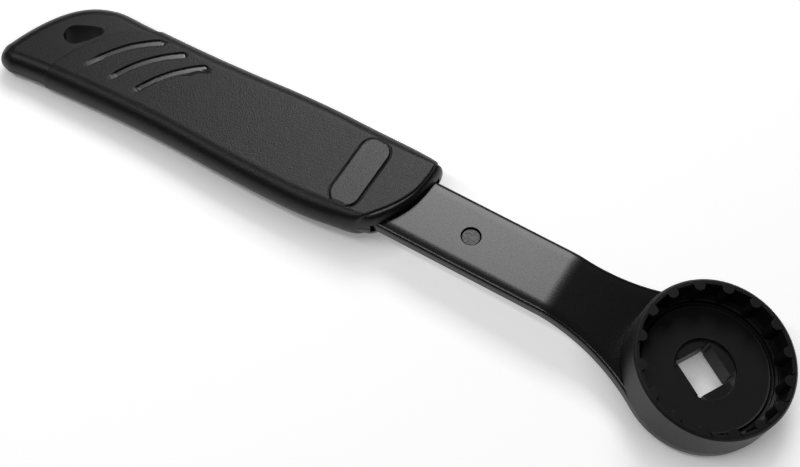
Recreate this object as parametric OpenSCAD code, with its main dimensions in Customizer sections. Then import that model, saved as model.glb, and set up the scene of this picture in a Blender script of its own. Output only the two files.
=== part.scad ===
// Bottom bracket wrench: a lobed socket cup on a flat steel bar, with a rubber-covered handle.
// It lies as it rests on a table: +Z is up, and the handle runs towards -X.
// The origin is on the socket's axis, level with the top of the head plate. Sizes are in millimetres.

/* [Socket cup] */
// Diameter of the wall between the lobes
socket_d = 47.1; // [36:0.1:60]
// Thickness of the wall outside the lobes
cup_wall = 1.85; // [1.2:0.05:4]
// Height of the rim above the head plate
cup_h = 13; // [9:0.1:20]
// Bevel on the rim's outer edge
rim_bevel = 0.65; // [0.2:0.05:1]
// Bevel at the cup's foot
foot_bevel = 0.3; // [0.1:0.05:0.6]
// Number of lobes round the wall
lobe_count = 16; // [8:1:18]
// Radius of each lobe
lobe_r = 1.85; // [1:0.05:2.5]
// How far each lobe stands in from the wall
lobe_in = 2.05; // [1:0.05:2.5]
// Depth of the lobes, from the rim down
lobe_depth = 7.95; // [5:0.05:8.5]
// Turn of the cup about its axis, in degrees
cup_turn = -27.5; // [-45:0.5:45]

/* [Cup floor] */
// Thickness of the cup's floor above the head plate
floor_t = 3.4; // [2.5:0.1:4]
// Width of the ledge under the lobes
ledge_w = 1.15; // [0.6:0.05:2]
// Height of the second step, under the ledge
step_h = 0.7; // [0.3:0.05:1]
// Width of the second step
step_w = 0.8; // [0.4:0.05:1.5]
// Width of the groove round the floor
groove_w = 0.8; // [0.4:0.05:1.5]
// Depth of the groove round the floor
groove_depth = 0.7; // [0.3:0.05:1.5]
// Width of the bead inside the groove
bead_w = 1.2; // [0.6:0.05:2]
// Height of the bead above the floor
bead_h = 0.3; // [0.1:0.05:0.6]
// Diameter of the shallow recess round the square hole
recess_d = 19.6; // [18.5:0.1:30]
// Depth of the shallow recess
recess_depth = 0.95; // [0.3:0.05:1.5]

/* [Drive] */
// Width of the square hole, for a half inch drive
drive_w = 12.75; // [9.5:0.05:13.5]
// Radius of the relief in each corner of the square
drive_relief_r = 0.75; // [0.3:0.05:1]
// Diameter of the boss that goes down through the head plate
boss_d = 22; // [20.5:0.1:30]
// How far the boss stands out below the head plate
boss_drop = 1.8; // [0.5:0.1:2]
// Bevel round the boss's lower end
boss_bevel = 0.5; // [0.2:0.05:0.5]

/* [Arm] */
// Width of the bar
bar_w = 23.7; // [18:0.1:30]
// Thickness of the bar and the head plate
bar_t = 3.4; // [2.8:0.1:5]
// Radius of the rolled upper edges
edge_r = 1.1; // [0.5:0.05:1.4]
// How far the cup's foot stands out past the head plate
plate_inset = 0.45; // [0.1:0.05:1]
// Radius of the flare from the bar into the head plate
flare_r = 67.7; // [40:0.1:90]
// Angle of the bend, in degrees
bend_deg = 11.6; // [5:0.1:20]
// Radius of the bend's upper side
bend_r = 22; // [10:0.5:40]
// Length of the bar hidden in the handle
tang_len = 92; // [50:1:105]
// Gap round the boss where it passes through the plate
boss_gap = 0.03; // [0.01:0.01:0.2]

/* [Magnet insert] */
// Diameter of the pocket in the bar
pocket_d = 6.4; // [4:0.1:10]
// Depth of the pocket
pocket_depth = 2.6; // [1.5:0.1:2.6]
// Gap round the insert in its pocket
insert_gap = 0.25; // [0.05:0.05:0.5]
// How far the insert lies below the bar's surface
insert_drop = 0.6; // [0.1:0.1:1]
// Distance of the insert from the bend, along the bar
insert_s = 31.6; // [15:0.1:40]

/* [Handle core] */
// Distance of the handle's front from the bend, along the bar
handle_s = 50.4; // [45:0.1:80]
// Length of the handle
handle_len = 147; // [140:0.5:180]
// Greatest width of the bare handle body
handle_w = 38; // [36:0.5:46]
// Thickness of the bare handle body
core_t = 10.2; // [9.5:0.1:14]
// Rounding of the collar's front edge
collar_round = 2.2; // [1:0.1:3]
// Width of the slot's open mouth on each side of the bar
mouth_side = 1.3; // [0.5:0.1:3]
// Depth of the slot's open mouth behind the deepest part of the collar's front
mouth_depth = 11.5; // [4:0.5:15]
// Gap between the bar and its slot
slot_gap = 0.05; // [0.02:0.01:0.2]
// Diameter of the hang hole's round end
hang_d = 7.5; // [5:0.1:9]
// Diameter of the hang hole's narrow end
hang_tip_d = 3.4; // [1:0.1:6]
// Diameter of the hang hole half way between its two ends
hang_mid_d = 6.1; // [2:0.1:8]
// Distance between the centres of the hang hole's two ends
hang_len = 7.7; // [4:0.1:9]
// Distance of the hang hole's round end from the nose of the handle
hang_back = 18.4; // [16:0.1:24]
// Offset of the hang hole's round end from the middle of the bar
hang_y = -2.6; // [-6:0.1:2]
// Turn of the hang hole, in degrees
hang_turn = 40; // [20:1:60]

/* [Rubber grip] */
// Thickness of the rubber sleeve
grip_wall = 1.8; // [1.2:0.1:2.5]
// How far the sleeve stands out past the bare handle body
grip_proud = 0.5; // [0.2:0.05:1]
// Gap between the sleeve and the handle body
grip_gap = 0.03; // [0.01:0.01:0.1]
// Width of the capsule pad
pad_w = 9.5; // [6:0.1:14]
// Length of the capsule pad
pad_len = 27; // [18:0.1:29]
// Height of the capsule pad above the sleeve
pad_h = 0.35; // [0.1:0.05:0.8]
// Distance of the capsule pad from the handle's front
pad_u = 21.2; // [18:0.1:60]
// Depth of the thumb grooves
thumb_depth = 0.6; // [0.2:0.05:1]
// Width of the thumb grooves at their widest
thumb_w = 2.5; // [2:0.1:5]
// Distance between the thumb grooves along the handle
thumb_pitch = 9.6; // [7:0.1:12]
// Distance of the first thumb groove from the nose of the handle
thumb_back = 29.0; // [26:0.1:40]

/* [Hidden] */
$fn = 96;
// Overrun of a cut past the face that it leaves through
past = 1;

// Cup
socket_r = socket_d / 2;
cup_r = socket_r + cup_wall;
lobe_z = cup_h - lobe_depth;
ledge_r = socket_r - ledge_w;
step_r = ledge_r - step_w;
bead_r = step_r - groove_w;
floor_r = bead_r - bead_w;
boss_r = boss_d / 2;
boss_z = -bar_t - boss_drop;
// Each lobe is sunk this far into the wall, and its foot this far into the ledge
lobe_root = cup_wall / 3;
lobe_sink = step_h / 2;

// Arm
head_r = cup_r - plate_inset;
bar_half = bar_w / 2;
// The flare's arc touches the bar's edge at this x, where the bend starts
flare_x = -sqrt((head_r - bar_half) * (head_r + bar_half + 2 * flare_r));
flare_y = bar_half + flare_r;
// Direction from the socket's axis to the point where the flare touches the head plate's circle
flare_turn = atan2(flare_y, flare_x);
// The tops of the bar and the head plate would cross at this x
bend_x = flare_x - bend_r * tan(bend_deg / 2);
tang_s = handle_s + tang_len;
// Length of the bend along its upper side, and of the whole arm behind the socket's axis when flat
bend_flat = bend_r * bend_deg * PI / 180;
flat_len = -flare_x + bend_flat + tang_s - bend_r * tan(bend_deg / 2);
bend_steps = 5;
flare_steps = 12;
head_steps = 30;
roll_steps = 5;

// Outline of the handle body seen from above, from the collar round by the far side, the nose and the near side.
// Each point is its share of the length behind the front, its share of the width across from the bar's middle,
// and how fully the side is rounded there, from 0 at the collar to 1.
body_outline = [
    [0.001, 0.29, 0], [0.001, 0.38, 0.05], [0.006, 0.435, 0.2], [0.0251, 0.458, 0.5], [0.0723, 0.4733, 0.9],
    [0.1738, 0.4716, 1], [0.2793, 0.4713, 1], [0.3776, 0.4543, 1], [0.4801, 0.4235, 1], [0.5826, 0.4002, 1],
    [0.6911, 0.3863, 1], [0.7686, 0.3824, 1], [0.8238, 0.3808, 1], [0.8488, 0.3619, 1], [0.8861, 0.3019, 1],
    [0.919, 0.2038, 1], [0.9468, 0.0684, 1], [0.969, -0.0908, 1], [0.9874, -0.2733, 1], [0.9951, -0.3724, 1],
    [1, -0.4545, 1], [0.9906, -0.5581, 1], [0.9657, -0.5978, 1], [0.9345, -0.5831, 1], [0.857, -0.55, 1],
    [0.7525, -0.521, 1], [0.65, -0.502, 1], [0.5455, -0.499, 1], [0.439, -0.508, 1], [0.3356, -0.51, 1],
    [0.2351, -0.499, 1], [0.1889, -0.482, 1], [0.1437, -0.453, 0.9], [0.1036, -0.4198, 0.5], [0.082, -0.3794, 0.2],
    [0.0625, -0.3431, 0], [0.0434, -0.2549, 0], [0.026, -0.1433, 0], [0.0101, 0.0073, 0], [0.003, 0.16, 0]
];
// Steps between two points of the outline
outline_steps = 3;
// Steps up the rounded side
side_steps = 10;
// The sleeve's rear edge: distance from the nose, and place across the handle
seam_line = [
    [17.7, -50], [17.7, -30], [18.7, -21], [20.2, -13], [23.5, -5], [28, 3], [34.6, 8.6], [40.6, 13], [43.5, 20],
    [43.5, 30], [43.5, 50]
];
// The sleeve's front edge: distance from the front, and place across the handle
lip_line = [
    [22, -50], [18, -30], [14.6, -18], [12, -13], [6.2, -4.4], [3.1, 2.8], [2.2, 9.7], [2.4, 15], [3, 20],
    [3, 30], [3, 50]
];
neck_in = grip_wall - grip_proud;
neck_r = core_t / 2 - neck_in;
// The neck's first and last stations at the far side and at the near side, as the distance behind the front.
// The last one keeps its distance from the nose, as the sleeve's rear edge does.
neck_start = [5, 17];
neck_end = [handle_len - 35, handle_len - 14];
neck_stations = 10;
// Each thumb groove's centre line is an arc that starts here across the handle, heads off at this angle
// from the handle's axis and turns back by the sweep, less for each next groove. It starts a little narrower.
thumb_y = -10.8;
thumb_start = 70;
thumb_sweep = 36.5;
thumb_less = 1.5;
thumb_r = 40;
thumb_taper = 0.8;
thumb_steps = 8;
nose_s = handle_s + handle_len;

// The wrench rests on the far edge of the head plate and on the handle's butt, under the sleeve or the nose
plate_edge = [head_r, -bar_t];
nose_turn = rest_turn_on(beside_bar(nose_s - core_t / 2, -bar_t / 2), core_t / 2);
sleeve_turn = rest_turn_on(beside_bar(nose_s - seam_line[2][0], -bar_t / 2 - core_t / 2 - grip_proud), 0);
rest_turn = max(nose_turn, sleeve_turn);

// Point in the head plate's x and z, a distance s behind the bend and z above the bar's top
function beside_bar(s, z) = [
    bend_x - s * cos(bend_deg) - z * sin(bend_deg),
    -s * sin(bend_deg) + z * cos(bend_deg)
];
// Turn that lays the plate's edge and the underside of a round of radius r at point p on a level surface
function rest_turn_on(p, r) = let (d = plate_edge - p) atan2(d[1], d[0]) + asin(r / norm(d));

// Smooth curve through points: a share t of the way from b to c, where a and d are the points beyond them
function flat(p) = [p[0], p[1]];
function mix(a, b, ta, tb, t) = ((tb - t) * a + (t - ta) * b) / (tb - ta);
function on_curve(a, b, c, d, share) =
    let (
        tb = sqrt(norm(flat(b) - flat(a))),
        tc = tb + sqrt(norm(flat(c) - flat(b))),
        td = tc + sqrt(norm(flat(d) - flat(c))),
        t = tb + share * (tc - tb),
        ab = mix(a, b, 0, tb, t),
        bc = mix(b, c, tb, tc, t),
        cd = mix(c, d, tc, td, t)
    )
    mix(mix(ab, bc, 0, tc, t), mix(bc, cd, tb, td, t), tb, tc, t);
function closed_curve(p, steps) = [
    for (i = [0:len(p) - 1], k = [0:steps - 1])
        on_curve(p[(i + len(p) - 1) % len(p)], p[i], p[(i + 1) % len(p)], p[(i + 2) % len(p)], k / steps)
];
function open_curve(p, steps) = [
    for (i = [1:len(p) - 3], k = [0:steps - 1]) on_curve(p[i - 1], p[i], p[i + 1], p[i + 2], k / steps)
];

// Body outline in millimetres, with x = 0 at the front and the nose at -handle_len
function body_point(p) = [-p[0] * handle_len, p[1] * handle_w, p[2]];
body_curve = closed_curve([for (p = body_outline) body_point(p)], outline_steps);
body_count = len(body_curve);
function outward(i) =
    let (
        before = body_curve[(i + body_count - 1) % body_count],
        after = body_curve[(i + 1) % body_count],
        run = flat(after) - flat(before)
    )
    [run[1], -run[0]] / norm(run);
body_normals = [for (i = [0:body_count - 1]) outward(i)];

// Edges of the body on one side, 1 for the far side and -1 for the near side, as [distance behind the front, y]
function body_edge(side) = [
    for (i = [0:body_count - 1]) if (body_normals[i][1] * side > 0.8) [-body_curve[i][0], body_curve[i][1]]
];
far_edge = body_edge(1);
near_edge = body_edge(-1);

module rest() {
    rotate([0, rest_turn, 0]) children();
}

// Places children on the bar: x = 0 at the bend with the handle towards -x, z = 0 at the bar's top
module on_bar() {
    rest() translate([bend_x, 0, 0]) rotate([0, -bend_deg, 0]) children();
}

// Places children in the handle: x = 0 at its front, z = 0 in the middle of the bar's thickness
module in_handle() {
    on_bar() translate([-handle_s, 0, -bar_t / 2]) children();
}

// The arm is drawn flat, then bent. Each station on its far edge holds [x, y] and the edge's outward direction.
function on_circle(centre, r, turn, facing) = [
    centre + r * [cos(turn), sin(turn)],
    facing * [cos(turn), sin(turn)]
];
arm_stations = concat(
    [[[-flat_len, bar_half], [0, 1]]],
    [for (i = [bend_steps:-1:1]) [[flare_x - bend_flat * i / bend_steps, bar_half], [0, 1]]],
    [
        for (i = [0:flare_steps - 1])
            on_circle([flare_x, flare_y], flare_r, -90 + (flare_turn - 90) * i / flare_steps, -1)
    ],
    [for (i = [0:head_steps]) on_circle([0, 0], head_r, flare_turn * (1 - i / (head_steps + 0.5)), 1)]
);
// Edge of the section, from the sharp lower edge over the rolled upper one, as [inset, height]
edge_section = concat(
    [[0, -bar_t]],
    [for (i = [0:roll_steps]) edge_r * [1 - cos(90 * i / roll_steps), sin(90 * i / roll_steps) - 1]]
);
// Place of a point of the flat arm once it is bent
function bent(x, z) =
    let (
        back = flare_x - x,
        turn = bend_deg * max(0, min(1, back / bend_flat)),
        straight = max(0, back - bend_flat)
    )
    back <= 0 ? [x, z] : [
        flare_x - (bend_r + z) * sin(turn) - straight * cos(turn),
        (bend_r + z) * cos(turn) - bend_r - straight * sin(turn)
    ];
function edge_point(station, part, side) =
    let (at = station[0] - part[0] * station[1], place = bent(at[0], part[1]))
    [place[0], side * at[1], place[1]];

module flat_arm() {
    n = len(edge_section);
    stations = len(arm_stations);
    points = [
        for (s = arm_stations, i = [0:2 * n - 1])
            i < n ? edge_point(s, edge_section[i], 1) : edge_point(s, edge_section[2 * n - 1 - i], -1)
    ];
    skin = [
        for (s = [0:stations - 2], i = [0:2 * n - 1])
            let (a = 2 * n * s + i, b = 2 * n * s + (i + 1) % (2 * n))
            [a, a + 2 * n, b + 2 * n, b]
    ];
    tip = 2 * n * (stations - 1);
    tip_faces = [for (i = [0:n - 2]) [tip + i, tip + 2 * n - 1 - i, tip + 2 * n - 2 - i, tip + i + 1]];
    polyhedron(points = points, faces = concat([[for (i = [0:2 * n - 1]) i]], skin, tip_faces));
}

// The flat steel arm, with the boss's hole in its head and the insert's pocket in its bar
module arm() {
    color("#1c1c1e") rest() difference() {
        flat_arm();
        translate([0, 0, -bar_t - past]) cylinder(r = boss_r + boss_gap, h = bar_t + 2 * past);
        translate([bend_x, 0, 0]) rotate([0, -bend_deg, 0]) translate([-insert_s, 0, -pocket_depth])
            cylinder(d = pocket_d, h = pocket_depth + past);
    }
}

// Turned body of the cup: wall, ledges, groove, bead, floor, recess and boss
module cup_section() {
    polygon([
        [0, boss_z], [boss_r - boss_bevel, boss_z], [boss_r, boss_z + boss_bevel], [boss_r, 0],
        [cup_r - foot_bevel, 0], [cup_r, foot_bevel], [cup_r, cup_h - rim_bevel], [cup_r - rim_bevel, cup_h],
        [socket_r, cup_h], [socket_r, lobe_z], [ledge_r, lobe_z], [ledge_r, lobe_z - step_h],
        [step_r, lobe_z - step_h], [step_r, floor_t - groove_depth], [bead_r, floor_t - groove_depth],
        [bead_r - bead_w / 2, floor_t + bead_h], [floor_r, floor_t], [recess_d / 2, floor_t],
        [recess_d / 2, floor_t - recess_depth], [0, floor_t - recess_depth]
    ]);
}

module lobes() {
    translate([0, 0, lobe_z - lobe_sink]) intersection() {
        cylinder(r = socket_r + lobe_root, h = lobe_depth + lobe_sink);
        for (i = [0:lobe_count - 1])
            rotate([0, 0, i * 360 / lobe_count])
                translate([socket_r - lobe_in + lobe_r, 0, 0]) cylinder(r = lobe_r, h = lobe_depth + lobe_sink);
    }
}

module drive_hole() {
    hole_h = floor_t - boss_z;
    translate([0, 0, boss_z - past]) {
        translate([-drive_w / 2, -drive_w / 2, 0]) cube([drive_w, drive_w, hole_h + 2 * past]);
        for (turn = [45:90:315])
            rotate([0, 0, turn]) translate([drive_w / sqrt(2) - drive_relief_r, 0, 0])
                cylinder(r = drive_relief_r, h = hole_h + 2 * past, $fn = 32);
    }
}

// The lobed socket with its square drive hole
module socket_cup() {
    color("#161618") rest() rotate([0, 0, cup_turn]) difference() {
        union() {
            rotate_extrude() cup_section();
            lobes();
        }
        drive_hole();
    }
}

// The round insert in the bar
module magnet_insert() {
    color("#2c2c2e") on_bar() translate([-insert_s, 0, -pocket_depth])
        cylinder(d = pocket_d - 2 * insert_gap, h = pocket_depth - insert_drop);
}

// Closed body on the handle's outline, grown outwards by grow, flat above and below and with rounded sides
module body(grow, thickness) {
    ring_points = [
        for (k = [0:side_steps], i = [0:body_count - 1])
            let (
                tilt = -90 + 180 * k / side_steps,
                p = body_curve[i],
                round_w = collar_round + (thickness / 2 - collar_round) * p[2],
                out = grow - round_w * (1 - cos(tilt)),
                at = flat(p) + out * body_normals[i]
            )
            [at[0], at[1], thickness / 2 * sin(tilt)]
    ];
    ring_faces = [
        for (k = [0:side_steps - 1], i = [0:body_count - 1], half = [0, 1])
            let (a = k * body_count + i, b = k * body_count + (i + 1) % body_count)
            half == 0 ? [a, a + body_count, b + body_count] : [a, b + body_count, b]
    ];
    under = [for (i = [0:body_count - 1]) i];
    above = [for (i = [body_count - 1:-1:0]) side_steps * body_count + i];
    polyhedron(points = ring_points, faces = concat([under], ring_faces, [above]));
}

// Neck under the sleeve: rounded rods along both sides and all between them, made larger by grow
module neck(grow) {
    module station(i) {
        at = neck_start + (neck_end - neck_start) * i / neck_stations;
        in = neck_in + neck_r;
        translate([-at[0], lookup(at[0], far_edge) - in, 0]) sphere(neck_r + grow, $fn = 32);
        translate([-at[1], lookup(at[1], near_edge) + in, 0]) sphere(neck_r + grow, $fn = 32);
    }
    for (i = [0:neck_stations - 1]) hull() {
        station(i);
        station(i + 1);
    }
}

// Space between the sleeve's front edge and its rear edge
module sleeve_space() {
    front = [for (p = open_curve(lip_line, 4)) [-p[0], p[1]]];
    rear = [for (p = open_curve(seam_line, 4)) [p[0] - handle_len, p[1]]];
    translate([0, 0, -core_t]) linear_extrude(2 * core_t)
        polygon(concat(front, [for (i = [len(rear) - 1:-1:0]) rear[i]]));
}

// Hang hole, with its narrow end towards the front and the far side
module hang_hole() {
    translate([hang_back - handle_len, hang_y, -core_t]) rotate([0, 0, hang_turn])
        linear_extrude(2 * core_t) hull() {
            circle(d = hang_d);
            translate([hang_len / 2, 0]) circle(d = hang_mid_d);
            translate([hang_len, 0]) circle(d = hang_tip_d);
        }
}

// Slot for the bar's tang, with its open mouth at the collar
module bar_slot() {
    slot_t = bar_t + 2 * slot_gap;
    slot_w = bar_w + 2 * slot_gap;
    mouth_w = bar_w + 2 * mouth_side;
    translate([-tang_len - slot_gap, -slot_w / 2, -slot_t / 2]) cube([tang_len + slot_gap + past, slot_w, slot_t]);
    translate([-mouth_depth, -mouth_w / 2, -slot_t / 2]) cube([mouth_depth + past, mouth_w, slot_t]);
}

// Hard handle body: bare at the collar and the butt, and a smaller neck under the sleeve
module handle_core() {
    color("#19191b") in_handle() difference() {
        union() {
            difference() {
                body(0, core_t);
                sleeve_space();
            }
            neck(0);
        }
        bar_slot();
        hang_hole();
    }
}

// One thumb groove: a curved stroke with round ends
module thumb_groove(sweep) {
    function stroke(share, side) =
        let (turn = thumb_start + 90 - sweep * share, half = side * thumb_w / 2 * mix(thumb_taper, 1, 0, 1, share))
        (thumb_r + half) * [cos(turn), sin(turn)] - thumb_r * [cos(thumb_start + 90), sin(thumb_start + 90)];
    linear_extrude(thumb_depth + past) {
        polygon(concat(
            [for (i = [0:thumb_steps]) stroke(i / thumb_steps, 1)],
            [for (i = [thumb_steps:-1:0]) stroke(i / thumb_steps, -1)]
        ));
        circle(d = thumb_w * thumb_taper, $fn = 32);
        translate((stroke(1, 1) + stroke(1, -1)) / 2) circle(d = thumb_w, $fn = 32);
    }
}

// Soft sleeve over the neck, with its capsule pad and thumb grooves
module rubber_grip() {
    grip_t = core_t + 2 * grip_proud;
    color("#202022") in_handle() difference() {
        union() {
            intersection() {
                body(grip_proud, grip_t);
                sleeve_space();
            }
            translate([-pad_u, 0, grip_t / 2 - grip_proud]) linear_extrude(grip_proud + pad_h) {
                square([pad_w, pad_len - pad_w], center = true);
                for (side = [-1, 1]) translate([0, side * (pad_len - pad_w) / 2]) circle(d = pad_w);
            }
        }
        neck(grip_gap);
        bar_slot();
        for (i = [0:2])
            translate([thumb_back + i * thumb_pitch - handle_len, thumb_y, grip_t / 2 - thumb_depth])
                thumb_groove(thumb_sweep - i * thumb_less);
    }
}

arm();
socket_cup();
magnet_insert();
handle_core();
rubber_grip();
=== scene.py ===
"""Dresses the bottom bracket wrench around its CAD frame and lights it as in the photograph.

Sizes are in millimetres until a piece is finished. The part's own sizes are named as in its source.
"""

import math

import bmesh
import bpy
from mathutils import Matrix, Vector


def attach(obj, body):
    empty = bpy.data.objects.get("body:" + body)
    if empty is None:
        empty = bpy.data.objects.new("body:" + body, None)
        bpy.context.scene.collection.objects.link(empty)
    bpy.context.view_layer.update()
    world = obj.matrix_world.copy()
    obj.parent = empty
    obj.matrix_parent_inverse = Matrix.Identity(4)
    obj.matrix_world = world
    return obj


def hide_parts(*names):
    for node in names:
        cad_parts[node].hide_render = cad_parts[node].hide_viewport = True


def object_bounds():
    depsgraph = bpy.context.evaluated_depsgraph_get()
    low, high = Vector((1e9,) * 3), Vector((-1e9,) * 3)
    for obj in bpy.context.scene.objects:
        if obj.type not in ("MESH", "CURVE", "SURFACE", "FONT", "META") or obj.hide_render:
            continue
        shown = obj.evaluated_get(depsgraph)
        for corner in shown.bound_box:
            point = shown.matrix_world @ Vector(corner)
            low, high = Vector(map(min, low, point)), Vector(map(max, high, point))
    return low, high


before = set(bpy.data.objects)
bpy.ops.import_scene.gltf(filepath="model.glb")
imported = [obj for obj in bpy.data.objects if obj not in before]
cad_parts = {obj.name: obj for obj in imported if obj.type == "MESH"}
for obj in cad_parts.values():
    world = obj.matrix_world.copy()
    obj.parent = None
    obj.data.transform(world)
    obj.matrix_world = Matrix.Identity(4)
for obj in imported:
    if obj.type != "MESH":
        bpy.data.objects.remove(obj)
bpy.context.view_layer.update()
MM = 0.001

# Socket cup
SOCKET_R = 47.1 / 2
CUP_R = SOCKET_R + 1.85
CUP_H = 13
RIM_BEVEL = 0.65
FOOT_BEVEL = 0.3
LOBE_COUNT = 16
LOBE_R = 1.85
LOBE_IN = 2.05
LOBE_Z = 5.05
LOBE_SINK = 0.35
LOBE_ROOT = 0.6
CUP_TURN = -27.5
LEDGE_R = SOCKET_R - 1.15
LEDGE_DROP = 0.7
STEP_R = LEDGE_R - 0.8
FLOOR_T = 3.4
GROOVE_DEPTH = 0.7
BEAD_R = STEP_R - 0.8
BEAD_W = 1.2
BEAD_H = 0.3
RECESS_R = 9.8
RECESS_DEPTH = 0.95
DRIVE_W = 12.75
DRIVE_RELIEF_R = 0.75
BOSS_R = 11
BOSS_BEVEL = 0.5

# Arm
BAR_T = 3.4
BAR_HALF = 23.7 / 2
BOSS_Z = -BAR_T - 1.8
HEAD_R = CUP_R - 0.45
EDGE_R = 1.1
LOW_EDGE_R = 0.15
ROLL_W = 2.7
ROLL_DROP = 0.3
ROLL_STEPS = 6
FLARE_R = 67.7
BEND = math.radians(11.6)
BEND_R = 22
FLARE_X = -math.sqrt((HEAD_R - BAR_HALF) * (HEAD_R + BAR_HALF + 2 * FLARE_R))
BEND_X = FLARE_X - BEND_R * math.tan(BEND / 2)
BEND_FLAT = BEND_R * BEND
HANDLE_S = 50.4
TANG_LEN = 92
POCKET_R = 3.2
POCKET_DEPTH = 2.6
INSERT_R = 2.95
INSERT_DROP = 0.6
INSERT_S = 31.6

# Handle
HANDLE_LEN = 147.0
HANDLE_W = 38
CORE_T = 10.2
COLLAR_ROUND = 2.2
MOUTH_SIDE = 1.3
MOUTH_DEPTH = 11.5
SLOT_GAP = 0.05
HANG_R = 3.75
HANG_MID_R = 3.05
HANG_TIP_R = 1.7
HANG_LEN = 7.7
HANG_AT = (HANDLE_LEN - 18.4, -2.6)
HANG_TURN = math.radians(40)
GRIP_WALL = 1.8
GRIP_PROUD = 0.5
GRIP_GAP = 0.03
SNUG = 0.02
NECK_IN = GRIP_WALL - GRIP_PROUD
PAD_AT = 21.2
PAD_W = 9.5
PAD_LEN = 27
PAD_H = 0.35
THUMB_DEPTH = 0.6
THUMB_W = 2.5
THUMB_R = 40
THUMB_Y = -10.8
THUMB_BACK = 29.0
THUMB_PITCH = 9.6

# Outline of the handle from above, from the collar round by the far side, the nose and the near side:
# share of the length behind the front, share of the width, and how fully the side is rounded there
BODY_OUTLINE = [
    (0.001, 0.29, 0), (0.001, 0.38, 0.05), (0.006, 0.435, 0.2), (0.0251, 0.458, 0.5), (0.0723, 0.4733, 0.9),
    (0.1738, 0.4716, 1), (0.2793, 0.4713, 1), (0.3776, 0.4543, 1), (0.4801, 0.4235, 1), (0.5826, 0.4002, 1),
    (0.6911, 0.3863, 1), (0.7686, 0.3824, 1), (0.8238, 0.3808, 1), (0.8488, 0.3619, 1), (0.8861, 0.3019, 1),
    (0.919, 0.2038, 1), (0.9468, 0.0684, 1), (0.969, -0.0908, 1), (0.9874, -0.2733, 1), (0.9951, -0.3724, 1),
    (1, -0.4545, 1), (0.9906, -0.5581, 1), (0.9657, -0.5978, 1), (0.9345, -0.5831, 1), (0.857, -0.55, 1),
    (0.7525, -0.521, 1), (0.65, -0.502, 1), (0.5455, -0.499, 1), (0.439, -0.508, 1), (0.3356, -0.51, 1),
    (0.2351, -0.499, 1), (0.1889, -0.482, 1), (0.1437, -0.453, 0.9), (0.1036, -0.4198, 0.5),
    (0.082, -0.3794, 0.2), (0.0625, -0.3431, 0), (0.0434, -0.2549, 0), (0.026, -0.1433, 0),
    (0.0101, 0.0073, 0), (0.003, 0.16, 0),
]
# The sleeve's rear edge, as distance from the nose and place across, and its front edge, from the front
SEAM_LINE = [
    (17.7, -50), (17.7, -30), (18.7, -21), (20.2, -13), (23.5, -5), (28, 3), (34.6, 8.6), (40.6, 13), (43.5, 20),
    (43.5, 30), (43.5, 50),
]
LIP_LINE = [
    (22, -50), (18, -30), (14.6, -18), (12, -13), (6.2, -4.4), (3.1, 2.8), (2.2, 9.7), (2.4, 15), (3, 20),
    (3, 30), (3, 50),
]


# Smooth curves

def on_curve(a, b, c, d, share):
    """Point a share of the way from b to c on the smooth curve through a, b, c and d, spaced by their distances."""
    def flat(p):
        return Vector(p[:2])

    tb = math.sqrt((flat(b) - flat(a)).length)
    tc = tb + math.sqrt((flat(c) - flat(b)).length)
    td = tc + math.sqrt((flat(d) - flat(c)).length)
    t = tb + share * (tc - tb)

    def mix(p, q, tp, tq):
        return Vector(p) * ((tq - t) / (tq - tp)) + Vector(q) * ((t - tp) / (tq - tp))

    ab, bc, cd = mix(a, b, 0, tb), mix(b, c, tb, tc), mix(c, d, tc, td)
    return mix(mix(ab, bc, 0, tc), mix(bc, cd, tb, td), tb, tc)


def closed_curve(points, steps):
    n = len(points)
    return [
        on_curve(points[i - 1], points[i], points[(i + 1) % n], points[(i + 2) % n], k / steps)
        for i in range(n) for k in range(steps)
    ]


def open_curve(points, steps):
    return [
        on_curve(points[i - 1], points[i], points[i + 1], points[i + 2], k / steps)
        for i in range(1, len(points) - 2) for k in range(steps)
    ]


def reader(pairs):
    """Reads a value off a line of (place, value) pairs, straight between them."""
    pairs = sorted(pairs)

    def read(x):
        if x <= pairs[0][0]:
            return pairs[0][1]
        for (x0, y0), (x1, y1) in zip(pairs, pairs[1:]):
            if x <= x1:
                return y0 + (y1 - y0) * (x - x0) / max(x1 - x0, 1e-9)
        return pairs[-1][1]

    return read


def smooth(t):
    t = max(0.0, min(1.0, t))
    return t * t * (3 - 2 * t)


OUTLINE_STEPS = 6
outline = closed_curve([Vector((s * HANDLE_LEN, w * HANDLE_W, r)) for s, w, r in BODY_OUTLINE], OUTLINE_STEPS)


def outline_out(i):
    """Direction straight out of the outline at its point i, with the distance behind the front as x."""
    run = outline[(i + 1) % len(outline)] - outline[i - 1]
    return Vector((-run.y, run.x)).normalized()


outline_outs = [outline_out(i) for i in range(len(outline))]
far_edge = reader([(p.x, p.y) for p, o in zip(outline, outline_outs) if o.y > 0.7])
near_edge = reader([(p.x, p.y) for p, o in zip(outline, outline_outs) if o.y < -0.7])
far_round = reader([(p.x, p.z) for p, o in zip(outline, outline_outs) if o.y > 0.7])
near_round = reader([(p.x, p.z) for p, o in zip(outline, outline_outs) if o.y < -0.7])
lip_at = reader([(p.y, p.x) for p in open_curve([Vector(p) for p in LIP_LINE], 6)])
seam_at = reader([(p.y, HANDLE_LEN - p.x) for p in open_curve([Vector(p) for p in SEAM_LINE], 6)])


# Frames of the pieces

def beside_bar(s, z):
    """Place in the head plate's x and z of a point s behind the bend and z above the bar's top."""
    return (
        BEND_X - s * math.cos(BEND) - z * math.sin(BEND),
        -s * math.sin(BEND) + z * math.cos(BEND),
    )


def rest_turn_on(p, r):
    dx, dz = HEAD_R - p[0], -BAR_T - p[1]
    return math.atan2(dz, dx) + math.asin(r / math.hypot(dx, dz))


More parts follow.
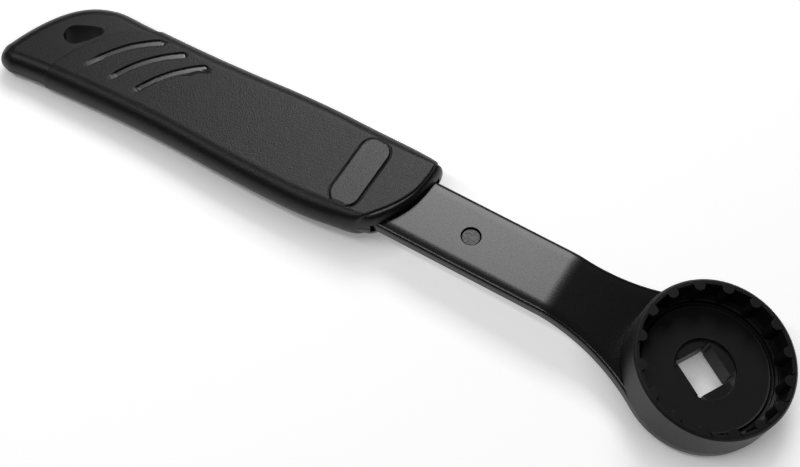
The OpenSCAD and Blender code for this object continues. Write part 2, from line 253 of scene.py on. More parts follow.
NOSE_S = HANDLE_S + HANDLE_LEN
REST_TURN = max(
    rest_turn_on(beside_bar(NOSE_S - CORE_T / 2, -BAR_T / 2), CORE_T / 2),
    rest_turn_on(beside_bar(NOSE_S - SEAM_LINE[2][0], -BAR_T / 2 - CORE_T / 2 - GRIP_PROUD), 0),
)
IN_METRES = Matrix.Scale(MM, 4)
AT_REST = IN_METRES @ Matrix.Rotation(REST_TURN, 4, "Y")
ON_CUP = AT_REST @ Matrix.Rotation(math.radians(CUP_TURN), 4, "Z")
ON_BAR = AT_REST @ Matrix.Translation((BEND_X, 0, 0)) @ Matrix.Rotation(-BEND, 4, "Y")
IN_HANDLE = ON_BAR @ Matrix.Translation((-HANDLE_S, 0, -BAR_T / 2))


# Finishing a piece

def finished(bm, name, node, finish, place, sharp=math.radians(34)):
    """Turns a bmesh in millimetres into a piece in the row frame that stands for its CAD node."""
    bmesh.ops.remove_doubles(bm, verts=bm.verts, dist=1e-4)
    bmesh.ops.recalc_face_normals(bm, faces=bm.faces)
    bmesh.ops.transform(bm, matrix=place, verts=bm.verts)
    mesh = bpy.data.meshes.new(name)
    bm.to_mesh(mesh)
    bm.free()
    mesh.shade_smooth()
    mesh.set_sharp_from_angle(angle=sharp)
    mesh.materials.append(finish)
    piece = bpy.data.objects.new(name, mesh)
    bpy.context.scene.collection.objects.link(piece)
    weigh = piece.modifiers.new("even shading", "WEIGHTED_NORMAL")
    weigh.keep_sharp = True
    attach(piece, "root")
    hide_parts(node)
    return piece


def temporary(bm, name="tool"):
    """A loose object from a bmesh, for cutting or joining."""
    bmesh.ops.recalc_face_normals(bm, faces=bm.faces)
    mesh = bpy.data.meshes.new(name)
    bm.to_mesh(mesh)
    bm.free()
    body = bpy.data.objects.new(name, mesh)
    bpy.context.scene.collection.objects.link(body)
    return body


def worked(body, steps, solver="EXACT"):
    """The bmesh of a body after cuts and joins with other bodies, which are used up."""
    for i, (operation, other) in enumerate(steps):
        step = body.modifiers.new(f"step {i}", "BOOLEAN")
        step.operation = operation
        step.solver = solver
        step.object = other
    bpy.context.view_layer.update()
    shown = body.evaluated_get(bpy.context.evaluated_depsgraph_get())
    bm = bmesh.new()
    bm.from_mesh(shown.to_mesh())
    shown.to_mesh_clear()
    for used in [body] + [other for _, other in steps]:
        bpy.data.objects.remove(used)
    return bm


def grown(bm, ring, place, layer):
    """Extrudes a ring of edges, puts each new vertex where place says for its step, and returns the new ring."""
    made = bmesh.ops.extrude_edge_only(bm, edges=ring)["geom"]
    verts = {v for v in made if isinstance(v, bmesh.types.BMVert)}
    for v in verts:
        v.co = place(round(v[layer]))
    return [e for e in made if isinstance(e, bmesh.types.BMEdge) and all(v in verts for v in e.verts)]


def start_ring(bm, count, place):
    """A closed ring of count vertices, numbered in a layer that extruding carries on."""
    layer = bm.verts.layers.float.new("step")
    bmesh.ops.create_circle(bm, segments=count, radius=1)
    for i, v in enumerate(bm.verts):
        v[layer] = i
        v.co = place(i)
    return list(bm.edges), layer


def soften(bm, picked, width, segments=2):
    bmesh.ops.bevel(
        bm, geom=picked, offset=width, segments=segments, profile=0.5, material=-1, affect="EDGES",
        clamp_overlap=True, offset_type="OFFSET",
    )


def edge_turn(edge):
    return edge.calc_face_angle(0) if len(edge.link_faces) == 2 else 0


# Socket cup

LOBE_STEPS = 10
WALL_STEPS = 4
SECTOR_STEPS = LOBE_STEPS + WALL_STEPS
CUP_STEPS = LOBE_COUNT * SECTOR_STEPS


def round_place(r, z):
    def place(step):
        turn = 2 * math.pi * step / CUP_STEPS
        return Vector((r * math.cos(turn), r * math.sin(turn), z))
    return place


def lobed_place(z):
    """The socket's wall with its round lobes, one to a sector, at height z."""
    middle = SOCKET_R - LOBE_IN + LOBE_R
    # Where a lobe's circle meets the wall: turn about the socket's axis, and about the lobe's own
    meet = math.acos((middle ** 2 + SOCKET_R ** 2 - LOBE_R ** 2) / (2 * middle * SOCKET_R))
    own = math.acos((middle ** 2 + LOBE_R ** 2 - SOCKET_R ** 2) / (2 * middle * LOBE_R))
    sector = 2 * math.pi / LOBE_COUNT

    def place(step):
        lobe, k = divmod(step + SECTOR_STEPS // 2, SECTOR_STEPS)
        k -= SECTOR_STEPS // 2
        half = LOBE_STEPS // 2
        if abs(k) <= half:
            turn = own * k / half
            x, y = middle - LOBE_R * math.cos(turn), LOBE_R * math.sin(turn)
        else:
            past = (abs(k) - half) / (SECTOR_STEPS / 2 - half)
            turn = math.copysign(meet + (sector / 2 - meet) * past, k)
            x, y = SOCKET_R * math.cos(turn), SOCKET_R * math.sin(turn)
        return Matrix.Rotation(lobe * sector, 3, "Z") @ Vector((x, y, z))
    return place


def square_place(z):
    """The square drive hole with a relief in each corner, at height z."""
    half = DRIVE_W / 2
    centre = half - DRIVE_RELIEF_R / math.sqrt(2)
    side_end = centre - DRIVE_RELIEF_R / math.sqrt(2)
    quarter = CUP_STEPS // 4
    side = round(quarter * 0.36)

    def place(step):
        corner, k = divmod(step, quarter)
        if k <= side:
            p = Vector((half, side_end * k / side, z))
        elif k < quarter - side:
            turn = math.radians(-45 + 180 * (k - side) / (quarter - 2 * side))
            p = Vector((centre + DRIVE_RELIEF_R * math.cos(turn), centre + DRIVE_RELIEF_R * math.sin(turn), z))
        else:
            p = Vector((side_end * (quarter - k) / side, half, z))
        return Matrix.Rotation(corner * math.pi / 2, 3, "Z") @ p
    return place


def make_cup(finish):
    bm = bmesh.new()
    low_z = LOBE_Z - LOBE_SINK
    recess_z = FLOOR_T - RECESS_DEPTH
    hidden_r = SOCKET_R + LOBE_ROOT
    places = [
        round_place(CUP_R, FOOT_BEVEL),
        round_place(CUP_R, CUP_H - RIM_BEVEL),
        round_place(CUP_R - RIM_BEVEL, CUP_H),
        lobed_place(CUP_H),
        lobed_place(low_z),
        round_place(hidden_r, low_z),
        round_place(hidden_r, LOBE_Z),
        round_place(LEDGE_R, LOBE_Z),
        round_place(LEDGE_R, LOBE_Z - LEDGE_DROP),
        round_place(STEP_R, LOBE_Z - LEDGE_DROP),
        round_place(STEP_R, FLOOR_T - GROOVE_DEPTH),
        round_place(BEAD_R, FLOOR_T - GROOVE_DEPTH),
        round_place(BEAD_R - BEAD_W / 2, FLOOR_T + BEAD_H),
        round_place(BEAD_R - BEAD_W, FLOOR_T),
        round_place(RECESS_R, FLOOR_T),
        round_place(RECESS_R, recess_z),
        square_place(recess_z),
        square_place(BOSS_Z),
        round_place(BOSS_R - BOSS_BEVEL, BOSS_Z),
        round_place(BOSS_R, BOSS_Z + BOSS_BEVEL),
        round_place(BOSS_R, 0),
        round_place(CUP_R - FOOT_BEVEL, 0),
        round_place(CUP_R, FOOT_BEVEL),
    ]
    ring, layer = start_ring(bm, CUP_STEPS, places[0])
    for place in places[1:]:
        ring = grown(bm, ring, place, layer)
    bmesh.ops.remove_doubles(bm, verts=bm.verts, dist=1e-4)
    bmesh.ops.recalc_face_normals(bm, faces=bm.faces)
    hidden = [
        e for e in bm.edges
        if all(abs(v.co.xy.length - hidden_r) < 0.01 or abs(v.co.z - low_z) < 0.01 for v in e.verts)
    ]
    crisp = [e for e in bm.edges if edge_turn(e) > math.radians(28) and e not in hidden]
    soften(bm, crisp, 0.1)
    return finished(bm, "socket_cup_turned", "socket_cup", finish, ON_CUP)


# Arm

def bent(co):
    """Place of a point of the flat arm once it is bent."""
    back = FLARE_X - co.x
    if back <= 0:
        return co
    turn = BEND * min(1, back / BEND_FLAT)
    straight = max(0, back - BEND_FLAT)
    return Vector((
        FLARE_X - (BEND_R + co.z) * math.sin(turn) - straight * math.cos(turn),
        co.y,
        (BEND_R + co.z) * math.cos(turn) - BEND_R - straight * math.sin(turn),
    ))


def rod(r, low, high, at=(0, 0), segments=96):
    bm = bmesh.new()
    bmesh.ops.create_cone(
        bm, cap_ends=True, segments=segments, radius1=r, radius2=r, depth=high - low,
        matrix=Matrix.Translation((at[0], at[1], (low + high) / 2)),
    )
    return bm


def make_arm(finish):
    bm = bmesh.new()
    touch = math.atan2(BAR_HALF + FLARE_R, FLARE_X)
    tip = bm.verts.new((HEAD_R, 0, 0))
    axis, still = (0, 0, 1), (0, 0, 0)
    head = bmesh.ops.spin(bm, geom=[tip], cent=still, axis=axis, angle=touch, steps=90)
    last = [v for v in head["geom_last"] if isinstance(v, bmesh.types.BMVert)]
    flare = bmesh.ops.spin(
        bm, geom=last, cent=(FLARE_X, BAR_HALF + FLARE_R, 0), axis=axis, angle=math.pi / 2 - touch, steps=40)
    last = [v for v in flare["geom_last"] if isinstance(v, bmesh.types.BMVert)]
    end = bmesh.ops.extrude_vert_indiv(bm, verts=last)["verts"]
    s_end = HANDLE_S + TANG_LEN - BEND_R * math.tan(BEND / 2)
    end[0].co.x = FLARE_X - BEND_FLAT - s_end
    middle = bmesh.ops.extrude_vert_indiv(bm, verts=end)["verts"]
    middle[0].co.y = 0
    bmesh.ops.mirror(bm, geom=bm.verts[:] + bm.edges[:], axis="Y", merge_dist=1e-4)
    bmesh.ops.remove_doubles(bm, verts=bm.verts, dist=1e-4)
    bmesh.ops.contextual_create(bm, geom=bm.edges[:])
    for v in [v for v in bm.verts if len(v.link_edges) == 2 and abs(v.co.y) < 1e-6 and v.co.x < 0]:
        bmesh.ops.dissolve_verts(bm, verts=[v])
    made = bmesh.ops.extrude_face_region(bm, geom=bm.faces[:])["geom"]
    for v in made:
        if isinstance(v, bmesh.types.BMVert):
            v.co.z = -BAR_T
    bmesh.ops.recalc_face_normals(bm, faces=bm.faces)
    top = [e for e in bm.edges if edge_turn(e) > 1 and all(v.co.z > -0.01 for v in e.verts)]
    soften(bm, top, EDGE_R, 7)
    # The top rolls down a little towards its edge, in loops that are set in from it
    inner = [f for f in bm.faces if f.normal.z > 0.999 and f.calc_center_median().z > -0.01]
    for v in inner[0].verts:
        v.co.z = -ROLL_DROP * (0.4 + 0.6 * smooth(0.5 - v.co.y / 8))
    for k in range(1, ROLL_STEPS + 1):
        inner = [max(bm.faces, key=lambda f: len(f.verts) if f.normal.z > 0.9 else 0)]
        bmesh.ops.inset_region(bm, faces=inner, thickness=ROLL_W / ROLL_STEPS, use_even_offset=True)
        for v in inner[0].verts:
            v.co.z = -ROLL_DROP * (1 - k / ROLL_STEPS) ** 2 * (0.4 + 0.6 * smooth(0.5 - v.co.y / 8))
    low = [e for e in bm.edges if edge_turn(e) > 1 and all(v.co.z < -BAR_T + 0.01 for v in e.verts)]
    soften(bm, low, LOW_EDGE_R, 2)
    bend_steps = 14
    for i in range(bend_steps + 1):
        x = FLARE_X - BEND_FLAT * i / bend_steps
        bmesh.ops.bisect_plane(
            bm, geom=bm.verts[:] + bm.edges[:] + bm.faces[:], dist=1e-5, plane_co=(x, 0, 0), plane_no=(1, 0, 0))
    back = FLARE_X - BEND_FLAT - (INSERT_S - BEND_R * math.tan(BEND / 2))
    bm = worked(temporary(bm), [
        ("DIFFERENCE", temporary(rod(BOSS_R + 0.03, -BAR_T - 1, 1))),
        ("DIFFERENCE", temporary(rod(POCKET_R, -POCKET_DEPTH, 1, (back, 0), 64))),
    ])
    mouth = [
        e for e in bm.edges
        if all(abs(v.co.z) < 0.01 and abs((v.co.xy - Vector((back, 0))).length - POCKET_R) < 0.02 for v in e.verts)
    ]
    soften(bm, mouth, 0.12, 2)
    for v in bm.verts:
        v.co = bent(v.co)
    return finished(bm, "arm_coated", "arm", finish, AT_REST)


def make_insert(finish):
    bm = rod(INSERT_R, -POCKET_DEPTH, -INSERT_DROP, (-INSERT_S, 0), 64)
    soften(bm, [e for e in bm.edges if edge_turn(e) > 1 and e.verts[0].co.z > -1 and e.verts[1].co.z > -1], 0.25, 3)
    return finished(bm, "magnet_insert_disc", "magnet_insert", finish, ON_BAR)


# Handle

SIDE_STEPS = 14
PARTING_W = 0.14
PARTING_DEPTH = 0.1


def body_skin(grow, thickness, parted=False):
    """Closed body on the handle's outline, grown outwards, flat above and below and with rounded sides."""
    def side_place(tilt, sink=0.0, z=None):
        def place(i):
            p, o = outline[i], outline_outs[i]
            round_w = COLLAR_ROUND + (thickness / 2 - COLLAR_ROUND) * p.z
            out = grow - sink - SNUG - round_w * (1 - math.cos(tilt))
            height = (thickness / 2 - SNUG) * math.sin(tilt)
            return Vector((-p.x - o.x * out, p.y + o.y * out, height if z is None else z))
        return place

    bm = bmesh.new()
    ring, layer = start_ring(bm, len(outline), side_place(0, PARTING_DEPTH if parted else 0.0))
    bm.edges.ensure_lookup_table()
    if parted:
        ring = grown(bm, ring, side_place(0, 0.0, PARTING_W), layer)
    for k in range(1, SIDE_STEPS + 1):
        ring = grown(bm, ring, side_place(math.pi / 2 * k / SIDE_STEPS), layer)
    bmesh.ops.contextual_create(bm, geom=ring)
    bmesh.ops.mirror(bm, geom=bm.verts[:] + bm.edges[:] + bm.faces[:], axis="Z", merge_dist=1e-4)
    bmesh.ops.remove_doubles(bm, verts=bm.verts, dist=1e-4)
    return bm


def prism(points, low, high):
    """Straight body on a closed line of points."""
    bm = bmesh.new()
    face = bm.faces.new([bm.verts.new((x, y, low)) for x, y in points])
    made = bmesh.ops.extrude_face_region(bm, geom=[face])["geom"]
    bmesh.ops.translate(bm, vec=(0, 0, high - low), verts=[v for v in made if isinstance(v, bmesh.types.BMVert)])
    return bm


def block(x0, x1, half_w, half_h):
    bm = bmesh.new()
    size = Matrix.Diagonal((x1 - x0, 2 * half_w, 2 * half_h, 1))
    bmesh.ops.create_cube(bm, size=1, matrix=Matrix.Translation(((x0 + x1) / 2, 0, 0)) @ size)
    return bm


def hang_outline():
    """The hang hole's outline, drawn tightly round a large, a middle and a small circle."""
    lean_back = math.acos((HANG_R - HANG_MID_R) / (HANG_LEN / 2))
    lean_front = math.acos((HANG_MID_R - HANG_TIP_R) / (HANG_LEN / 2))
    arcs = [
        (0, HANG_R, lean_back, 2 * math.pi - lean_back, 48),
        (HANG_LEN / 2, HANG_MID_R, -lean_back, -lean_front, 4),
        (HANG_LEN, HANG_TIP_R, -lean_front, lean_front, 20),
        (HANG_LEN / 2, HANG_MID_R, lean_front, lean_back, 4),
    ]
    points = []
    for x, r, first, last, steps in arcs:
        turns = [first + (last - first) * k / steps for k in range(steps + 1)]
        points += [Vector((x + r * math.cos(turn), r * math.sin(turn))) for turn in turns]
    turned = [Matrix.Rotation(HANG_TURN, 2) @ p for p in points]
    return [(p.x - HANG_AT[0], p.y + HANG_AT[1]) for p in turned]


def make_core(finish):
    lip = [(-lip_at(y), y) for y in range(-30, 31)]
    seam = [(-seam_at(y), y) for y in range(30, -31, -1)]
    # The neck's skin crosses itself a little at the nose, which the exact solver can't take
    sleeve_space = worked(
        temporary(prism(lip + seam, -CORE_T, CORE_T)),
        [("DIFFERENCE", temporary(body_skin(-NECK_IN, CORE_T - 2 * NECK_IN)))], "MANIFOLD",
    )
    slot_half = BAR_HALF + SLOT_GAP
    bm = worked(temporary(body_skin(0, CORE_T, parted=True)), [
        ("DIFFERENCE", temporary(sleeve_space)),
        ("DIFFERENCE", temporary(block(-TANG_LEN - SLOT_GAP, 2, slot_half, BAR_T / 2 + SLOT_GAP))),
        ("DIFFERENCE", temporary(block(-MOUTH_DEPTH, 2, BAR_HALF + MOUTH_SIDE, BAR_T / 2 + SLOT_GAP))),
        ("DIFFERENCE", temporary(prism(hang_outline(), -CORE_T, CORE_T))),
    ], "MANIFOLD")
    hang = Vector((-HANG_AT[0], HANG_AT[1]))
    rim = [
        e for e in bm.edges
        if edge_turn(e) > 1 and all(abs(abs(v.co.z) - CORE_T / 2) < 0.01 for v in e.verts)
        and all((v.co.xy - hang).length < HANG_LEN + 2 for v in e.verts)
    ]
    soften(bm, rim, 0.12, 2)
    return finished(bm, "handle_core_moulded", "handle_core", finish, IN_HANDLE)


THUMB_STARTS = [(HANDLE_LEN - THUMB_BACK - THUMB_PITCH * i, THUMB_Y) for i in range(3)]
THUMB_HEADING = math.radians(70)
THUMB_SWEEPS = [math.radians(36.5 - 1.5 * i) for i in range(3)]
THUMB_FADES = [0.3, 0.1, 0.08]
PAD_POLISH = 0.2


def capsule_distance(s, y):
    """Distance outwards from the pad's edge, negative on the pad."""
    reach = (PAD_LEN - PAD_W) / 2
    return math.hypot(s - PAD_AT, y - max(-reach, min(reach, y))) - PAD_W / 2


def thumb_distance(s, y, i):
    """Distance outwards from a thumb groove's edge, and the share of the way along it."""
    s0, y0 = THUMB_STARTS[i]
    head, sweep = THUMB_HEADING, THUMB_SWEEPS[i]
    cx, cy = THUMB_R * math.cos(head + math.pi / 2), THUMB_R * math.sin(head + math.pi / 2)
    x, yy = -(s - s0) + cx, (y - y0) + cy
    turn = math.atan2(yy, x)
    share = (head + math.pi / 2 - turn) / sweep
    held = max(0, min(1, share))
    at = head + math.pi / 2 - sweep * held
    off = math.hypot(x - THUMB_R * math.cos(at), yy - THUMB_R * math.sin(at))
    return off - THUMB_W / 2 * (0.8 + 0.2 * held), held


WALL_W = 0.35
LINE_W = 0.45
LINE_DEPTH = 0.25
THUMB_FLOOR = 0.45
THUMB_LINE_W = 0.3


def relief(s, y):
    """Height of the sleeve's top above its plain surface."""
    h = 0.0
    d = capsule_distance(s, y)
    if d < 2:
        h += PAD_H * smooth(0.5 - d / WALL_W)
        h -= LINE_DEPTH * smooth(1 - abs(d - WALL_W / 2 - LINE_W / 2) / (LINE_W / 2 + 0.12))
    for i in range(3):
        if abs(s - THUMB_STARTS[i][0] + 8) < 16 and y > THUMB_Y - 3:
            d, share = thumb_distance(s, y, i)
            if d < 1:
                fade = smooth(share / THUMB_FADES[i] + 0.1)
                deep = THUMB_FLOOR + (THUMB_DEPTH - THUMB_FLOOR) * smooth(d / THUMB_LINE_W + 1.3)
                h -= deep * fade * smooth(0.5 - d / WALL_W)
    return h


def polish(s, y):
    """How smooth the rubber is: 1 on the thumb grooves' floors, part of that on the pad, 0 elsewhere."""
    if abs(s - PAD_AT) < PAD_W:
        return PAD_POLISH * smooth(0.5 - capsule_distance(s, y) / WALL_W)
    found = 0.0
    for i in range(3):
        if abs(s - THUMB_STARTS[i][0] + 8) < 16 and y > THUMB_Y - 3:
            d, share = thumb_distance(s, y, i)
            found = max(found, smooth(-d / WALL_W) * (0.35 + 0.65 * share))
    return found


def sleeve_stations():
    """Shares of the way from lip to seam, close together over the pad and the thumb grooves."""
    spans = [(0, 0.03, 8), (0.03, 0.24, 118), (0.24, 0.74, 46), (0.74, 0.955, 122), (0.955, 1, 8)]
    shares = [a + (b - a) * k / n for a, b, n in spans for k in range(n)]
    return shares + [1.0]


SLEEVE_TOP_STEPS = 130
SLEEVE_SIDE_STEPS = 14
SLEEVE_LOW_STEPS = 16
LIP_R = 0.8
SEAM_R = 0.3


def section_points():
    """Points round the sleeve's section as (share across the flat, tilt, side): top, far side, below, near side."""
    top = [(k / SLEEVE_TOP_STEPS, 90, 0) for k in range(SLEEVE_TOP_STEPS)]
    far = [(1, 90 - 180 * k / (2 * SLEEVE_SIDE_STEPS), 1) for k in range(2 * SLEEVE_SIDE_STEPS)]
    low = [(1 - k / SLEEVE_LOW_STEPS, -90, 0) for k in range(SLEEVE_LOW_STEPS)]
    near = [(0, -90 + 180 * k / (2 * SLEEVE_SIDE_STEPS), -1) for k in range(2 * SLEEVE_SIDE_STEPS)]
    return top + far + low + near


def sleeve_point(share, across, tilt, grow, thickness, detailed, push=0.0):
    """A point of the sleeve: share of the way from lip to seam, pushed further along the handle by push."""
    tilt = math.radians(tilt)
    y, s = 0.0, 0.0
    for _ in range(9):
        s = lip_at(y) + (seam_at(y) - lip_at(y)) * share + push
        wide = thickness / 2 - COLLAR_ROUND
        far = far_edge(s) + grow - SNUG - (COLLAR_ROUND + wide * far_round(s)) * (1 - math.cos(tilt))
        near = near_edge(s) - grow + SNUG + (COLLAR_ROUND + wide * near_round(s)) * (1 - math.cos(tilt))
        y = near + (far - near) * across
    z = (thickness / 2 - SNUG) * math.sin(tilt)
    if detailed and tilt > 1.5:
        z += relief(s, y)
    return Vector((-s, y, z))


def make_grip(finish):
    around = section_points()
    thick = CORE_T + 2 * GRIP_PROUD
    inner = CORE_T - 2 * NECK_IN + 2 * GRIP_GAP
    # Rings from the lip to the seam outside, and back inside; each is (share, push, sink, inside)
    quarter = [math.pi / 2 * k / 5 for k in range(6)]
    lip_roll = [(0, LIP_R * (1 - math.cos(t)), LIP_R * (1 - math.sin(t)), False) for t in quarter]
    seam_roll = [(1, -SEAM_R * (1 - math.sin(t)), SEAM_R * (1 - math.cos(t)), False) for t in quarter]
    outside = [(u, LIP_R * (1 - u) - SEAM_R * u, 0, False) for u in sleeve_stations()[1:-1]]
    inside = [(1 - k / 12, 0, 0, True) for k in range(13)]
    rings = lip_roll + outside + seam_roll + inside
    bm = bmesh.new()
    bmesh.ops.create_grid(bm, x_segments=len(rings), y_segments=len(around), size=0.5)
    smoothness = bm.verts.layers.float.new("polish")
    for v in bm.verts:
        share, push, sink, within = rings[round((v.co.x + 0.5) * len(rings)) % len(rings)]
        across, tilt, _ = around[round((v.co.y + 0.5) * len(around)) % len(around)]
        if within:
            v.co = sleeve_point(share, across, tilt, -NECK_IN + GRIP_GAP, inner, False)
        else:
            v.co = sleeve_point(share, across, tilt, GRIP_PROUD - sink, thick - 2 * sink, sink == 0, push)
            if tilt == 90:
                v[smoothness] = polish(-v.co.x, v.co.y)
    return finished(bm, "rubber_grip_sleeve", "rubber_grip", finish, IN_HANDLE, math.radians(60))


# Finishes

class Finish:
    """A procedural material built node by node on Object coordinates."""

    def __init__(self, name, colour, roughness, **sockets):
        self.material = bpy.data.materials.new(name)
        self.material.use_nodes = True
        self.nodes = self.material.node_tree.nodes
        self.links = self.material.node_tree.links
        self.shader = self.nodes["Principled BSDF"]
        self.shader.inputs["Base Color"].default_value = (*colour, 1)
        self.shader.inputs["Roughness"].default_value = roughness
        for socket, value in sockets.items():
            self.shader.inputs[socket.replace("_", " ")].default_value = value
        self.place = self.nodes.new("ShaderNodeTexCoord").outputs["Object"]
        self.bump = None

    def noise(self, size_mm, detail=2.0, stretch=None):
        grain = self.nodes.new("ShaderNodeTexNoise")
        grain.inputs["Scale"].default_value = 1 / (size_mm * MM)
        grain.inputs["Detail"].default_value = detail
        place = self.place
        if stretch:
            mapping = self.nodes.new("ShaderNodeMapping")
            mapping.inputs["Scale"].default_value = stretch
            self.links.new(place, mapping.inputs["Vector"])
            place = mapping.outputs["Vector"]
        self.links.new(place, grain.inputs["Vector"])
        return grain.outputs["Fac"]

    def spread(self, value, low, high, start=0.3, end=0.7):
        """A value mapped from start..end to low..high."""
        node = self.nodes.new("ShaderNodeMapRange")
        node.inputs["From Min"].default_value = start
        node.inputs["From Max"].default_value = end
        node.inputs["To Min"].default_value = low
        node.inputs["To Max"].default_value = high
        self.links.new(value, node.inputs["Value"])
        return node.outputs["Result"]

    def rough(self, value, low, high):
        self.links.new(self.spread(value, low, high), self.shader.inputs["Roughness"])

    def tint(self, value, dark, light):
        ramp = self.nodes.new("ShaderNodeValToRGB")
        ramp.color_ramp.elements[0].position = 0.3
        ramp.color_ramp.elements[0].color = (*dark, 1)
        ramp.color_ramp.elements[1].position = 0.7
        ramp.color_ramp.elements[1].color = (*light, 1)
        self.links.new(value, ramp.inputs["Fac"])
        self.links.new(ramp.outputs["Color"], self.shader.inputs["Base Color"])

    def rise(self, value, height_mm, fade=None):
        """Bump of a height in millimetres, on top of any before it; fade is its strength from place to place."""
        bump = self.nodes.new("ShaderNodeBump")
        bump.inputs["Strength"].default_value = 1
        if fade:
            self.links.new(fade, bump.inputs["Strength"])
        bump.inputs["Distance"].default_value = height_mm * MM
        self.links.new(value, bump.inputs["Height"])
        if self.bump:
            self.links.new(self.bump, bump.inputs["Normal"])
        self.bump = bump.outputs["Normal"]
        self.links.new(self.bump, self.shader.inputs["Normal"])


def grey(value, warm=0.0):
    return (value * (1 + warm), value, value * (1 - warm))


def rubber():
    f = Finish("matt textured rubber", grey(0.005), 0.38)
    polished = f.nodes.new("ShaderNodeAttribute")
    polished.attribute_name = "polish"
    grain = f.noise(0.45, 3)
    f.rise(grain, 0.09, fade=f.spread(polished.outputs["Fac"], 1, 0, 0, 0.8))
    f.tint(grain, grey(0.003), grey(0.008))
    f.links.new(f.spread(polished.outputs["Fac"], 0.38, 0.27, 0, 1), f.shader.inputs["Roughness"])
    f.links.new(f.spread(polished.outputs["Fac"], 0.32, 0.9, 0, 1), f.shader.inputs["Specular IOR Level"])
    return f.material


def moulded_plastic():
    f = Finish("moulded hard plastic", grey(0.004), 0.37, Specular_IOR_Level=0.36)
    f.rise(f.noise(0.45, 3), 0.07)
    return f.material


def bar_coating():
    f = Finish("semi gloss black coating", grey(0.003), 0.26)
    f.rise(f.noise(0.4, 2), 0.006)
    f.rough(f.noise(0.6, 3), 0.25, 0.28)
    return f.material


def cup_coating():
    f = Finish("satin black coating on turned steel", grey(0.005), 0.46, Specular_IOR_Level=0.4)
    f.rise(f.noise(0.5, 2), 0.015)
    f.rough(f.noise(1, 3), 0.43, 0.49)
    return f.material


def insert_steel():
    f = Finish("darkened satin steel", grey(0.012), 0.36, Specular_IOR_Level=0.5)
    f.rise(f.noise(0.5, 3), 0.02)
    f.rough(f.noise(0.8, 3), 0.3, 0.45)
    return f.material


make_cup(cup_coating())
make_arm(bar_coating())
make_insert(insert_steel())
make_core(moulded_plastic())
make_grip(rubber())


# Studio

FLOOR_TONE = 0.9
FLOOR_GLOW = 0.5
# How far around the object ambient occlusion dims the floor's glow, as painted contact shade
PAINTED_SHADE_REACH = 0.01


def studio_white():
    """Pale floor: seen by the camera or in a gloss it has a little light of its own. Ambient occlusion dims that
    glow near and under the object as painted contact shade, and its lit part keeps real shadows.
    """
    material = bpy.data.materials.new("pale studio floor")
    material.use_nodes = True
    nodes, links = material.node_tree.nodes, material.node_tree.links
    shader = nodes["Principled BSDF"]
    shader.inputs["Base Color"].default_value = (*grey(FLOOR_TONE), 1)
    shader.inputs["Roughness"].default_value = 0.9
    shader.inputs["Specular IOR Level"].default_value = 0
    path = nodes.new("ShaderNodeLightPath")
    seen = path.outputs["Is Camera Ray"]
    for ray in ("Is Glossy Ray", "Is Transmission Ray"):
        either = nodes.new("ShaderNodeMath")
        either.operation = "MAXIMUM"
        links.new(seen, either.inputs[0])
        links.new(path.outputs[ray], either.inputs[1])
        seen = either.outputs[0]
    glow = nodes.new("ShaderNodeEmission")
    strength = nodes.new("ShaderNodeMath")
    strength.operation = "MULTIPLY"
    strength.inputs[1].default_value = FLOOR_GLOW
    # The glow is weaker where the object hides the sky, as painted shade under and around it, not cast by a lamp
    painted_shade_occlusion = nodes.new("ShaderNodeAmbientOcclusion")
    painted_shade_occlusion.inputs["Distance"].default_value = PAINTED_SHADE_REACH
    glow_with_painted_shade = nodes.new("ShaderNodeMath")
    glow_with_painted_shade.operation = "MULTIPLY"
    links.new(seen, glow_with_painted_shade.inputs[0])
    links.new(painted_shade_occlusion.outputs["AO"], glow_with_painted_shade.inputs[1])
    links.new(glow_with_painted_shade.outputs[0], strength.inputs[0])
    links.new(strength.outputs[0], glow.inputs["Strength"])
    both = nodes.new("ShaderNodeAddShader")
    links.new(shader.outputs[0], both.inputs[0])
    links.new(glow.outputs[0], both.inputs[1])
    links.new(both.outputs[0], nodes["Material Output"].inputs["Surface"])
    return material


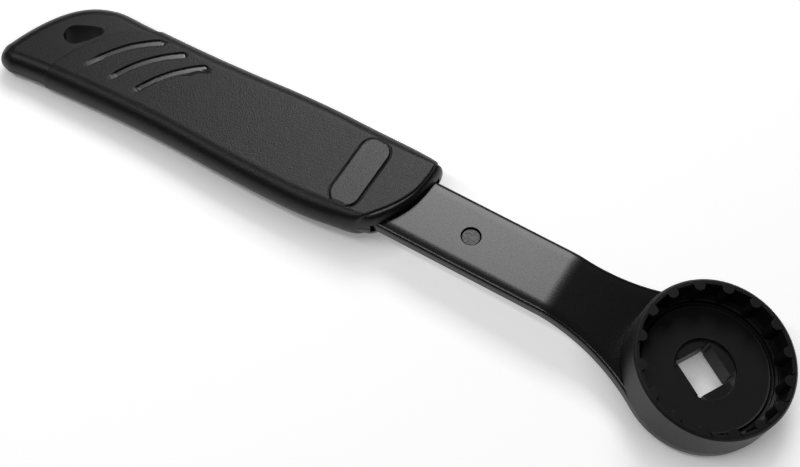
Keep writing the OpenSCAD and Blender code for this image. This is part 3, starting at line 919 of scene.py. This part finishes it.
def make_studio(low):
    """A round floor with a low curved backdrop all round, in metres."""
    bm = bmesh.new()
    made = bmesh.ops.create_circle(bm, cap_ends=True, segments=96, radius=1.2)
    bmesh.ops.translate(bm, vec=(-0.1, 0, low), verts=made["verts"])
    ring = [e for e in bm.edges if e.is_boundary]
    for out, up in ((1.08, 0.01), (1.06, 0.03), (1.04, 0.05), (1.02, 0.06)):
        geom = bmesh.ops.extrude_edge_only(bm, edges=ring)["geom"]
        verts = [v for v in geom if isinstance(v, bmesh.types.BMVert)]
        bmesh.ops.scale(bm, vec=(out, out, 1), verts=verts, space=Matrix.Translation((0.1, 0, 0)))
        bmesh.ops.translate(bm, vec=(0, 0, up), verts=verts)
        ring = [e for e in geom if isinstance(e, bmesh.types.BMEdge) and all(v in verts for v in e.verts)]
    mesh = bpy.data.meshes.new("studio_floor")
    bm.to_mesh(mesh)
    bm.free()
    mesh.materials.append(studio_white())
    floor = bpy.data.objects.new("studio_floor", mesh)
    bpy.context.scene.collection.objects.link(floor)


def soft_light(name, at, aim, heading, width, height, brightness):
    """A rectangular soft light with an even brightness, where 1 is white; heading turns its long side from x."""
    along = Vector((math.cos(heading), math.sin(heading), 0))
    back = Vector(at) - Vector(aim)
    back = (back - back.dot(along) * along).normalized()
    lamp = bpy.data.lights.new(name, "AREA")
    lamp.shape = "RECTANGLE"
    lamp.size = width
    lamp.size_y = height
    lamp.energy = brightness * math.pi * width * height
    light = bpy.data.objects.new(name, lamp)
    axes = Matrix((along, back.cross(along), back)).transposed().to_4x4()
    light.matrix_world = Matrix.Translation(at) @ axes
    bpy.context.scene.collection.objects.link(light)
    return light


BOX_LOW, BOX_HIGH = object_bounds()
make_studio(BOX_LOW.z)
AIM = (-0.09, 0, 0.005)
soft_light("softbox_over_bar", (-0.425, 0.62, 0.84), AIM, math.radians(-11), 0.55, 0.44, 7.2)
soft_light("strip_over_front", (-0.5, -0.38, 1.0), AIM, 0, 0.95, 0.09, 11)

world = bpy.data.worlds.new("dim studio")
world.use_nodes = True
world.node_tree.nodes["Background"].inputs["Color"].default_value = (*grey(0.07), 1)
bpy.context.scene.world = world

# Camera at the photograph's place, from its directions to the right, down and forwards
CAMERA_AT = Vector((0.01385, -0.24387, 0.46814))
CAMERA_RIGHT = Vector((0.85659, 0.5136, 0.04868)).normalized()
CAMERA_FORWARD = Vector((-0.21429, 0.44, -0.87208)).normalized()
CAMERA_LENS = 77.7

camera = bpy.data.objects.new("camera", bpy.data.cameras.new("camera"))
camera.data.lens = CAMERA_LENS
camera.data.clip_start = 0.02
camera.data.clip_end = 20
up = CAMERA_RIGHT.cross(CAMERA_FORWARD).normalized()
right = CAMERA_FORWARD.cross(up)
camera.matrix_world = Matrix.Translation(CAMERA_AT) @ Matrix((right, up, -CAMERA_FORWARD)).transposed().to_4x4()
bpy.context.scene.collection.objects.link(camera)
bpy.context.scene.camera = camera
bpy.context.scene.view_settings.view_transform = "Standard"
